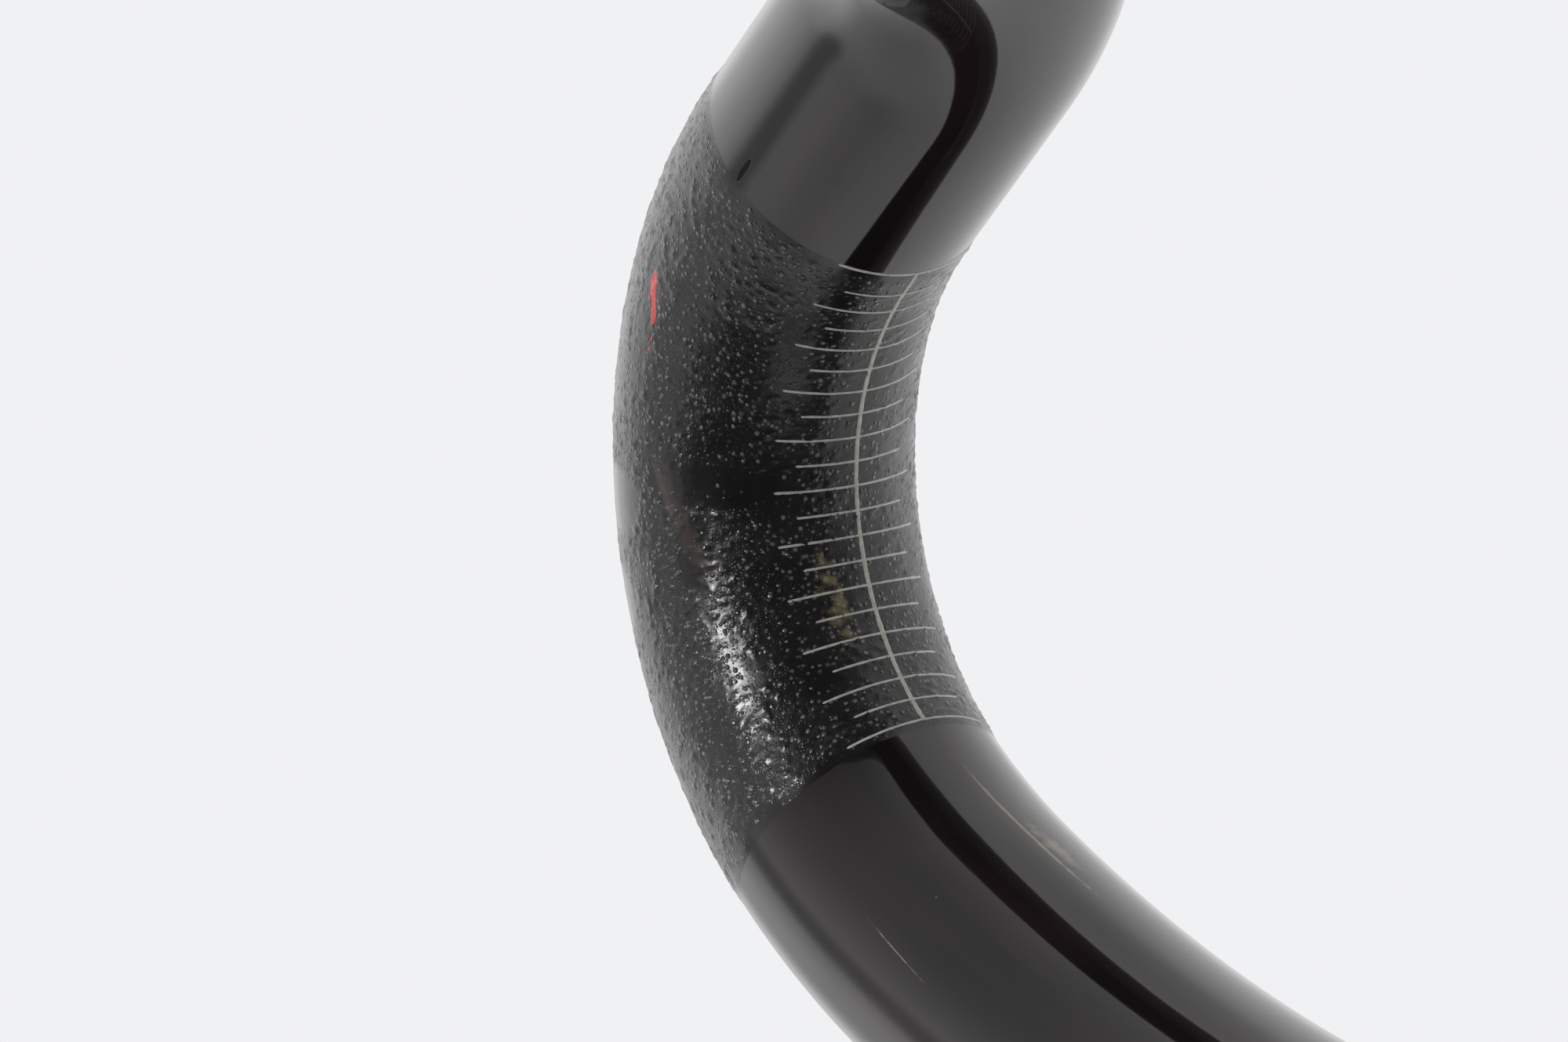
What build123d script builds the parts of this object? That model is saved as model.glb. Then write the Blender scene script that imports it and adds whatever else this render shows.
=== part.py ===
from build123d import *
import os
from math import cos, degrees, radians, sin

# Bare drop handlebar of a road bicycle, millimetres.
# Frame: +X to the rider's right, +Y forward, +Z up; the origin is the middle of the stem clamp.
# The right half is modelled and the left half is its mirror image in the plane X = 0.

# Tops and stem clamp
BAR_WIDTH = 420.0            # between the centre lines at the ramps
CLAMP_DIA = 31.8             # over the gritted stem clamp band
CLAMP_LENGTH = 72.0          # full-diameter length, stem faceplate plus room for accessories
TAPER_LENGTH = 52.0          # from the clamp diameter down to the tube diameter
TOPS_WALL = 2.3
CLAMP_INSERT_WALL = 1.6      # hoop-wound sleeve that backs the clamp from inside
CLAMP_INSERT_INSET = 3.0     # each end of the sleeve, inside the full-diameter length
STEM_GRIT_INSET = 13.0       # each end of the grit, for the printed lines
STEM_GRIT_THICK = 0.15

# Drops, followed from the tops to the bar end
TUBE_DIA = 23.8
DROP_WALL = 2.1
JOINT_OFFSET = 26.0          # straight tube between the bonded joint and the lateral bend
BEND_RADIUS = 30.0           # lateral bend, tops to ramp
RAMP_ANGLE = 10.0            # ramp below level
RAMP_LENGTH = 18.6
FLARE_ANGLE = 6.0            # plane of the drop, leaning outwards about the ramp
HOOK_RADIUS = 35.1           # tight upper hook, where the brake lever is clamped
HOOK_TURN = 99.6
EASE_RADIUS = 58.9           # short arc that eases the hook into the drop
EASE_TURN = 10.6
SWEEP_RADIUS = 150.0         # long arc of the drop
SWEEP_TURN = 25.0
HEEL_RADIUS = 90.0           # last arc, up to the straight grip
GRIP_LENGTH = 52.0
GRIP_ANGLE = 7.0             # grip end below level

# Bonded joint between the tops and each drop
SLEEVE_LENGTH = 48.0
SLEEVE_WALL = 1.3

# Lever clamp band: grit coat with a printed scale on the inside of the hook
SCALE_CENTRE = 28.0          # arc length from the start of the hook to the scale's middle tick
LEVER_GRIT_OVER = 0.5        # grit beyond the first tick and the last
LEVER_GRIT_UNDER = 1.5
LEVER_GRIT_THICK = 0.22
TICK_COUNT = 21
TICK_PITCH = 3.0             # along the centre line
TICK_WIDTH = 0.3
LONG_TICK = 14.0             # arc length round the tube
SHORT_TICK = 10.6
LINE_WIDTH = 0.42
INK_THICK = 0.06

# Stem scale: short lines beside the grit, for turning the bar to the same angle again
STEM_TICKS = 9
STEM_TICK_ANGLE = 4.0
STEM_TICK_LONG = 7.0
STEM_TICK_SHORT = 4.5
STEM_TICK_GAP = 1.5

# Expanding bar-end plug, measured from the bar's end face, outwards positive
CAP_HEAD = 3.2
CAP_OVERHANG = -0.2          # head radius beyond the tube radius
CAP_EDGE = 1.1
SPIGOT_LENGTH = 8.0
PLUG_GAP = 0.3               # spigot and sleeve to the bore
SCREW_DIA = 5.0
SCREW_LENGTH = 27.0          # under the head
SCREW_HEAD_DIA = 8.5
SCREW_HEAD_HEIGHT = 5.0
SCREW_HEAD_SINK = 0.5        # head below the cap's face
HEX_SIZE = 4.0               # across flats
HEX_DEPTH = 2.6
THREAD_FIT = 0.06            # radial, screw in cap, washer and nut
HEAD_FIT = 0.35              # radial, screw head in its counterbore
WASHER_THICK = 0.6
EXPANDER_LENGTH = 15.0
EXPANDER_BORE_GAP = 0.8      # radial, rubber sleeve round the screw
CONE_DEPTH = 6.5
SLEEVE_LIP = 2.6             # rubber left round the mouth of the cone
NUT_BORE_GAP = 1.5           # radial, nut flange to the bore
CONE_GAP = 0.35              # nut to rubber, square to the plug's axis
NUT_FLANGE = 3.0

STEM_GRIT_HALF = CLAMP_LENGTH / 2 - STEM_GRIT_INSET
TUBE_R = TUBE_DIA / 2
BORE_R = TUBE_R - DROP_WALL
DROP_X = BAR_WIDTH / 2
BEND_X = DROP_X - BEND_RADIUS
JOINT_X = BEND_X - JOINT_OFFSET
HEEL_TURN = 180 - GRIP_ANGLE - RAMP_ANGLE - HOOK_TURN - EASE_TURN - SWEEP_TURN

# The drop lies in a plane through the ramp, which leans outwards by the flare
SIDEWAYS = Vector(1, 0, 0)
RAMP_DIR = Vector(0, cos(radians(RAMP_ANGLE)), -sin(radians(RAMP_ANGLE)))
DROP_DOWN = SIDEWAYS * sin(radians(FLARE_ANGLE)) - SIDEWAYS.cross(RAMP_DIR) * cos(radians(FLARE_ANGLE))
BEND_START = SIDEWAYS * BEND_X
RAMP_START = BEND_START + (SIDEWAYS + RAMP_DIR) * BEND_RADIUS

# Length and radius of each stretch of the drop from the start of the ramp, radius 0 for a straight
STRETCHES = [
    (RAMP_LENGTH, 0),
    (HOOK_RADIUS * radians(HOOK_TURN), HOOK_RADIUS),
    (EASE_RADIUS * radians(EASE_TURN), EASE_RADIUS),
    (SWEEP_RADIUS * radians(SWEEP_TURN), SWEEP_RADIUS),
    (HEEL_RADIUS * radians(HEEL_TURN), HEEL_RADIUS),
    (GRIP_LENGTH, 0),
]
DROP_LENGTH = sum(length for length, radius in STRETCHES)
SCALE_AT = RAMP_LENGTH + SCALE_CENTRE
SCALE_REACH = TICK_PITCH * (TICK_COUNT - 1) / 2


def heading(angle):
    """Unit vector of travel in the plane of a drop; angle is degrees below forward, before the flare."""
    turn = radians(angle - RAMP_ANGLE)
    return RAMP_DIR * cos(turn) + DROP_DOWN * sin(turn)


def inward(angle):
    """Unit vector square to heading(angle), towards the inside of the drop's curve."""
    turn = radians(angle - RAMP_ANGLE)
    return DROP_DOWN * cos(turn) - RAMP_DIR * sin(turn)


def advance(point, angle, length, radius):
    """Point and angle reached after a length at a radius, 0 for a straight."""
    if not radius:
        return point + heading(angle) * length, angle
    turn = degrees(length / radius)
    centre = point + inward(angle) * radius
    return centre - inward(angle + turn) * radius, angle + turn


def station(travel):
    """Point and angle at a distance along the centre line from the start of the ramp."""
    point, angle = RAMP_START, RAMP_ANGLE
    for length, radius in STRETCHES:
        point, angle = advance(point, angle, min(travel, length), radius)
        travel -= min(travel, length)
    return point, angle


def drop_run(start, end):
    """Edges of the drop's centre line between two distances from the start of the ramp."""
    edges, at = [], 0
    for length, radius in STRETCHES:
        low, high = max(start, at), min(end, at + length)
        if high - low > 1e-6:
            first, middle, last = (station(travel)[0] for travel in (low, (low + high) / 2, high))
            edges.append(ThreePointArc(first, middle, last) if radius else Line(first, last))
        at += length
    return edges


def ring(outer, inner):
    """Flat ring at the origin."""
    return Circle(outer) - Circle(inner)


def tube_along(path, outer, inner):
    """Round tube along a path that starts square to its first edge."""
    start = Plane(origin=path @ 0, z_dir=path % 0)
    return sweep(start * ring(outer, inner), path=path)


def tube_x(outer, inner, x_from, x_to):
    """Tube about the X axis."""
    return extrude(Plane.YZ.offset(x_from) * ring(outer, inner), x_to - x_from)


def tops_body(clamp_radius, tube_radius, x_end):
    """Solid of revolution about X: clamp bulge, smooth tapers, straight tube."""
    half = CLAMP_LENGTH / 2
    taper_end = half + TAPER_LENGTH
    profile = [
        Line((0, 0), (0, clamp_radius)),
        Line((0, clamp_radius), (half, clamp_radius)),
        Spline((half, clamp_radius), (taper_end, tube_radius), tangents=[(1, 0), (1, 0)]),
        Line((taper_end, tube_radius), (x_end, tube_radius)),
        Line((x_end, tube_radius), (x_end, 0)),
        Line((x_end, 0), (0, 0)),
    ]
    right = revolve(make_face(Wire(profile)), Axis.X)
    return right + mirror(right, about=Plane.YZ)


def centre_section():
    """Moulded tops, hollow, with a shallow seat for the stem grit."""
    outside = tops_body(CLAMP_DIA / 2, TUBE_R, JOINT_X)
    hollow = tops_body(CLAMP_DIA / 2 - TOPS_WALL, BORE_R, JOINT_X)
    half = STEM_GRIT_HALF
    seat = tube_x(CLAMP_DIA, CLAMP_DIA / 2 - STEM_GRIT_THICK, -half, half)
    return outside - hollow - seat


def clamp_insert():
    """Sleeve bonded inside the clamp."""
    outer = CLAMP_DIA / 2 - TOPS_WALL
    half = CLAMP_LENGTH / 2 - CLAMP_INSERT_INSET
    return tube_x(outer, outer - CLAMP_INSERT_WALL, -half, half)


def stem_clamp_grit():
    """Grit coat under the stem's faceplate, flush with the clamp diameter."""
    half = STEM_GRIT_HALF
    return tube_x(CLAMP_DIA / 2, CLAMP_DIA / 2 - STEM_GRIT_THICK, -half, half)


def ink_sector(radius, width):
    """Sector of ink round a tube, centred on the local X axis, width measured round the tube."""
    half = degrees(width / 2 / radius)
    top = radius + INK_THICK
    corners = [(r * cos(radians(a)), r * sin(radians(a))) for a in (-half, half) for r in (radius, top)]
    outline = [
        CenterArc((0, 0), radius, -half, 2 * half),
        Line(corners[2], corners[3]),
        CenterArc((0, 0), top, -half, 2 * half),
        Line(corners[1], corners[0]),
    ]
    return make_face(Wire(outline))


def stem_scale():
    """Printed lines on the front of the clamp, in a fan at each side of the grit."""
    lines = []
    for side in (-1, 1):
        for k in range(STEM_TICKS):
            length = STEM_TICK_SHORT if k % 2 else STEM_TICK_LONG
            start = side * (STEM_GRIT_HALF + STEM_TICK_GAP)
            turn = (k - (STEM_TICKS - 1) / 2) * STEM_TICK_ANGLE
            front = (0, cos(radians(turn)), sin(radians(turn)))
            across = Plane(origin=(start, 0, 0), x_dir=front, z_dir=(side, 0, 0))
            lines.append(extrude(across * ink_sector(CLAMP_DIA / 2, TICK_WIDTH), length))
    return Compound(children=[solid for line in lines for solid in line.solids()])


def right_drop():
    """Moulded drop: tops end, lateral bend, ramp, hook, drop and grip as one hollow tube."""
    bend_mid = BEND_START + (RAMP_DIR + (SIDEWAYS - RAMP_DIR).normalized()) * BEND_RADIUS
    tops_end = [Line(SIDEWAYS * JOINT_X, BEND_START), ThreePointArc(BEND_START, bend_mid, RAMP_START)]
    return tube_along(Wire(tops_end + drop_run(0, DROP_LENGTH)), TUBE_R, BORE_R)


def right_joint_sleeve():
    """Sleeve bonded into the tops and the drop, half in each."""
    half = SLEEVE_LENGTH / 2
    return tube_x(BORE_R, BORE_R - SLEEVE_WALL, JOINT_X - half, JOINT_X + half)


def right_lever_grit():
    """Grit coat round the hook, under the brake lever's clamp."""
    start, end = SCALE_AT - SCALE_REACH - LEVER_GRIT_OVER, SCALE_AT + SCALE_REACH + LEVER_GRIT_UNDER
    return tube_along(Wire(drop_run(start, end)), TUBE_R + LEVER_GRIT_THICK, TUBE_R)


def right_lever_scale():
    """Printed scale on the inside of the hook: one long line crossed by ticks."""
    radius = TUBE_R + LEVER_GRIT_THICK
    point, angle = station(SCALE_AT - SCALE_REACH)
    start = Plane(origin=point, x_dir=inward(angle), z_dir=heading(angle))
    path = Wire(drop_run(SCALE_AT - SCALE_REACH, SCALE_AT + SCALE_REACH))
    scale = sweep(start * ink_sector(radius, LINE_WIDTH), path=path)
    for k in range(TICK_COUNT):
        point, angle = station(SCALE_AT - SCALE_REACH + k * TICK_PITCH)
        across = Plane(origin=point, x_dir=inward(angle), z_dir=heading(angle))
        width = SHORT_TICK if k % 2 else LONG_TICK
        scale += extrude(across * ink_sector(radius, width), TICK_WIDTH / 2, both=True)
    return scale


BAR_END, BAR_END_ANGLE = station(DROP_LENGTH)
PLUG = Plane(origin=BAR_END, x_dir=inward(BAR_END_ANGLE), z_dir=heading(BAR_END_ANGLE))
SCREW_R = SCREW_DIA / 2
SCREW_HOLE_R = SCREW_R + THREAD_FIT
WASHER_FLOOR = CAP_HEAD - SCREW_HEAD_SINK - SCREW_HEAD_HEIGHT - WASHER_THICK
HEAD_SEAT = WASHER_FLOOR + WASHER_THICK
EXPANDER_END = -SPIGOT_LENGTH - EXPANDER_LENGTH
CONE_ROOT_RADIUS = SCREW_R + EXPANDER_BORE_GAP + 0.3
CONE_MOUTH_RADIUS = BORE_R - PLUG_GAP - SLEEVE_LIP
NUT_FLANGE_RADIUS = BORE_R - NUT_BORE_GAP


def disc(radius, z_from, z_to):
    """Cylinder on the plug's axis."""
    return extrude(PLUG.offset(z_from) * Circle(radius), z_to - z_from)


def cone(points):
    """Solid of revolution on the plug's axis, through (radius, height) points."""
    outline = [(0, points[0][1])] + points + [(0, points[-1][1])]
    face = make_face(Polyline([PLUG.from_local_coords((r, 0, z)) for r, z in outline], close=True))
    return revolve(face, Axis(PLUG.origin, PLUG.z_dir))


def right_plug_cap():
    """Cap: domed head over the bar end, hollow spigot, counterbore for the screw head."""
    head = disc(TUBE_R + CAP_OVERHANG, 0, CAP_HEAD)
    head = fillet(head.faces().sort_by(Axis(PLUG.origin, PLUG.z_dir))[-1].edges(), CAP_EDGE)
    body = head + disc(BORE_R - PLUG_GAP, -SPIGOT_LENGTH, 0)
    body -= disc(SCREW_HEAD_DIA / 2 + HEAD_FIT, WASHER_FLOOR, CAP_HEAD)
    return body - disc(SCREW_HOLE_R, -SPIGOT_LENGTH, WASHER_FLOOR)


def right_plug_washer():
    """Plain washer under the screw head."""
    return disc(SCREW_HEAD_DIA / 2, WASHER_FLOOR, HEAD_SEAT) - disc(SCREW_HOLE_R, WASHER_FLOOR, HEAD_SEAT)


def right_expander_sleeve():
    """Rubber sleeve that the wedge nut spreads against the bore."""
    body = disc(BORE_R - PLUG_GAP, EXPANDER_END, -SPIGOT_LENGTH)
    body -= disc(SCREW_R + EXPANDER_BORE_GAP, EXPANDER_END, -SPIGOT_LENGTH)
    return body - cone([(CONE_MOUTH_RADIUS, EXPANDER_END), (CONE_ROOT_RADIUS, EXPANDER_END + CONE_DEPTH)])


def right_wedge_nut():
    """Cone nut, drawn into the rubber by the screw."""
    flange_top = EXPANDER_END - CONE_GAP
    body = cone([
        (NUT_FLANGE_RADIUS, flange_top - NUT_FLANGE),
        (NUT_FLANGE_RADIUS, flange_top),
        (CONE_MOUTH_RADIUS - CONE_GAP, flange_top),
        (CONE_ROOT_RADIUS - CONE_GAP, EXPANDER_END + CONE_DEPTH - CONE_GAP),
    ])
    return body - disc(SCREW_HOLE_R, flange_top - NUT_FLANGE, EXPANDER_END + CONE_DEPTH)


def right_plug_screw():
    """Socket-head screw."""
    head_top = HEAD_SEAT + SCREW_HEAD_HEIGHT
    screw = disc(SCREW_HEAD_DIA / 2, HEAD_SEAT, head_top) + disc(SCREW_R, HEAD_SEAT - SCREW_LENGTH, HEAD_SEAT)
    socket = RegularPolygon(HEX_SIZE / 2, 6, major_radius=False)
    return screw - extrude(PLUG.offset(head_top) * socket, -HEX_DEPTH)


SHARED = [centre_section, clamp_insert, stem_clamp_grit, stem_scale]
RIGHT = [
    right_drop, right_joint_sleeve, right_lever_grit, right_lever_scale, right_plug_cap,
    right_plug_washer, right_expander_sleeve, right_wedge_nut, right_plug_screw,
]

os.makedirs("parts", exist_ok=True)
for make in SHARED:
    export_step(make(), f"parts/{make.__name__}.step")
for make in RIGHT:
    shape = make()
    export_step(shape, f"parts/{make.__name__}.step")
    export_step(mirror(shape, about=Plane.YZ), f"parts/{make.__name__.replace('right', 'left')}.step")
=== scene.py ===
"""Looks of a bare carbon drop handlebar with gritted clamp bands, printed scales and bar-end plugs.

Every length is in metres and every piece is in the part's frame: +X to the rider's right, +Y forward, +Z up,
origin in the middle of the stem clamp. Right-hand pieces are made first and the left ones are mirrored in X.
"""

import logging
import math
from dataclasses import dataclass, field
from enum import Enum
from typing import Any, Callable, Sequence

import bpy
import numpy as np
from mathutils import Matrix, Vector


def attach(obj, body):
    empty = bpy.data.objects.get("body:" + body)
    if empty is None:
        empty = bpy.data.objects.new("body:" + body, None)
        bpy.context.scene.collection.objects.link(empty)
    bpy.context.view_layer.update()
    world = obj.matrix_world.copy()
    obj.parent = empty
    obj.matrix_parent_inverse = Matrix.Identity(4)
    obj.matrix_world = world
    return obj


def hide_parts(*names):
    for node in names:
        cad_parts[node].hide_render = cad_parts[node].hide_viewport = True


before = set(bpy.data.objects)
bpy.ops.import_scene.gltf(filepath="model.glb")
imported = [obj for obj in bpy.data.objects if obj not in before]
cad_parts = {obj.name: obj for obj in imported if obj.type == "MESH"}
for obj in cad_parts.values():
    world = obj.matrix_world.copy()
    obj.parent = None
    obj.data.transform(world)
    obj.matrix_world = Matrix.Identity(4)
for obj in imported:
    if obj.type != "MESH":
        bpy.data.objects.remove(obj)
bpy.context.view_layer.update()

log = logging.getLogger("handlebar")

MM = 0.001
TUBE_RADIUS = 11.9 * MM
BORE_RADIUS = 9.8 * MM
CLAMP_RADIUS = 15.9 * MM
UV_NAME = "surface"
WEAR_NAME = "grit"
ROUND = 96

Array = np.ndarray
Colour = tuple[float, float, float]
Socket = bpy.types.NodeSocket
Node = bpy.types.Node
Piece = bpy.types.Object


class Side(Enum):
    """Which half of the bar a piece belongs to; the value is the sign of X."""

    LEFT = -1
    RIGHT = 1

    @property
    def word(self) -> str:
        """Name used in node and body names."""
        return self.name.lower()


# Surfaces


def smooth(low: float, high: float, value: Array) -> Array:
    """Cubic step: 0 below low, 1 above high, 3t^2 - 2t^3 between.

    Args:
        low: value where the step starts.
        high: value where the step ends.
        value: values to map.

    Returns:
        An array of the same shape, from 0 to 1.
    """
    t = np.clip((value - low) / (high - low), 0.0, 1.0)
    return t * t * (3.0 - 2.0 * t)


def blurred_noise(shape: tuple[int, int], blur: float, seed: int) -> Array:
    """White noise times a Gaussian low-pass, exp(-2 pi^2 blur^2 f^2), in the Fourier domain.

    Args:
        shape: rows and columns.
        blur: standard deviation of the blur, in grid cells.
        seed: seed of the noise.

    Returns:
        Noise with mean 0 and standard deviation 1 that wraps at every edge.
    """
    rng = np.random.default_rng(seed)
    spectrum = np.fft.rfft2(rng.standard_normal(shape))
    fu = np.fft.fftfreq(shape[0])[:, None]
    fv = np.fft.rfftfreq(shape[1])[None, :]
    spectrum *= np.exp(-2.0 * (math.pi * blur) ** 2 * (fu**2 + fv**2))
    noise = np.fft.irfft2(spectrum, s=shape)
    return (noise - noise.mean()) / noise.std()


def particles(shape: tuple[int, int], blur: float, seed: int, spread: float, offset: float, top: float) -> Array:
    """Relief of grit: noise times spread plus offset, cut off at 0 and at top, over top.

    Args:
        shape: rows and columns.
        blur: size of the particles, in grid cells.
        seed: seed of the noise.
        spread: factor of the noise.
        offset: added to it; the lower it is, the sparser the particles.
        top: where the particles are cut flat.

    Returns:
        Heights from 0 to 1.
    """
    return np.clip(blurred_noise(shape, blur, seed) * spread + offset, 0, top) / top


@dataclass
class Sheet:
    """A grid of points that becomes a smooth quad mesh.

    Attributes:
        points: (rows, columns, 3) positions.
        closed_rows: the last row joins the first.
        closed_columns: the last column joins the first.
        uv: optional (rows, columns, 2) surface coordinates; a closed direction continues past its last line.
        wear: optional (rows, columns) value kept as a point attribute.
    """

    points: Array
    closed_rows: bool = False
    closed_columns: bool = True
    uv: Array | None = None
    wear: Array | None = None

    def quads(self) -> Array:
        """Corners of every face.

        Returns:
            (faces, 4, 2) rows and columns, not yet wrapped.
        """
        rows, columns = self.points.shape[:2]
        i = np.arange(rows - 1 + int(self.closed_rows))
        j = np.arange(columns - 1 + int(self.closed_columns))
        i, j = (a.ravel() for a in np.meshgrid(i, j, indexing="ij"))
        corners = [(i, j), (i, j + 1), (i + 1, j + 1), (i + 1, j)]
        return np.stack([np.stack(c, axis=-1) for c in corners], axis=1)

    def build(self, name: str, side: Side = Side.RIGHT) -> Piece:
        """Makes the mesh object at the origin.

        Args:
            name: object name.
            side: the left side mirrors X and turns the faces round.

        Returns:
            The new object, linked to the scene.
        """
        rows, columns = self.points.shape[:2]
        verts = self.points.reshape(-1, 3) * (side.value, 1, 1)
        corners = self.quads()
        if side is Side.LEFT:
            corners = corners[:, ::-1]
        index = (corners[..., 0] % rows) * columns + corners[..., 1] % columns
        mesh = bpy.data.meshes.new(name)
        mesh.vertices.add(len(verts))
        mesh.vertices.foreach_set("co", verts.ravel().astype(np.float32))
        mesh.loops.add(index.size)
        mesh.loops.foreach_set("vertex_index", index.ravel().astype(np.int32))
        mesh.polygons.add(len(index))
        mesh.polygons.foreach_set("loop_start", np.arange(0, index.size, 4, dtype=np.int32))
        if self.uv is not None:
            layer = mesh.uv_layers.new(name=UV_NAME)
            layer.data.foreach_set("uv", self.corner_uv(corners).ravel().astype(np.float32))
        if self.wear is not None:
            attribute = mesh.attributes.new(WEAR_NAME, "FLOAT", "POINT")
            attribute.data.foreach_set("value", self.wear.ravel().astype(np.float32))
        mesh.update(calc_edges=True)
        mesh.validate()
        mesh.shade_smooth()
        piece = bpy.data.objects.new(name, mesh)
        bpy.context.scene.collection.objects.link(piece)
        return piece

    def corner_uv(self, corners: Array) -> Array:
        """Surface coordinates of each face corner; the line past a closed edge is extrapolated.

        Args:
            corners: (faces, 4, 2) rows and columns, not yet wrapped.

        Returns:
            (faces, 4, 2) surface coordinates.
        """
        uv = self.uv
        if self.closed_columns:
            uv = np.concatenate([uv, 2 * uv[:, -1:] - uv[:, -2:-1]], axis=1)
        if self.closed_rows:
            uv = np.concatenate([uv, 2 * uv[-1:] - uv[-2:-1]], axis=0)
        return uv[corners[..., 0], corners[..., 1]]


def join(name: str, parts: Sequence[Piece]) -> Piece:
    """Joins meshes that are one piece on the real bar.

    Args:
        name: name of the joined object.
        parts: mesh objects at the origin.

    Returns:
        The first object, which now holds all the meshes.
    """
    with bpy.context.temp_override(active_object=parts[0], selected_editable_objects=list(parts)):
        bpy.ops.object.join()
    parts[0].name = parts[0].data.name = name
    return parts[0]


def ring_angles(count: int) -> Array:
    """count angles once round, from -pi."""
    return np.arange(count) * (2 * math.pi / count) - math.pi


def surface_grid(along: Array, around: Array) -> Array:
    """Surface coordinates (along, around) of a grid with one row per station, as (rows, columns, 2)."""
    return np.stack(np.broadcast_arrays(along[:, None], around[None]), axis=-1)


# The bar's centre line


@dataclass(frozen=True)
class Stretch:
    """A straight or a circular arc of the drop's centre line, in the plane of the drop.

    Attributes:
        length: length along the centre line.
        radius: radius of the arc, or 0 for a straight.
    """

    length: float
    radius: float = 0.0

    @property
    def turn(self) -> float:
        """Angle turned, in radians."""
        return self.length / self.radius if self.radius else 0.0


def arc_stretch(radius: float, degrees: float) -> Stretch:
    """Stretch that turns by an angle at a radius."""
    return Stretch(radius * math.radians(degrees), radius)


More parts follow.
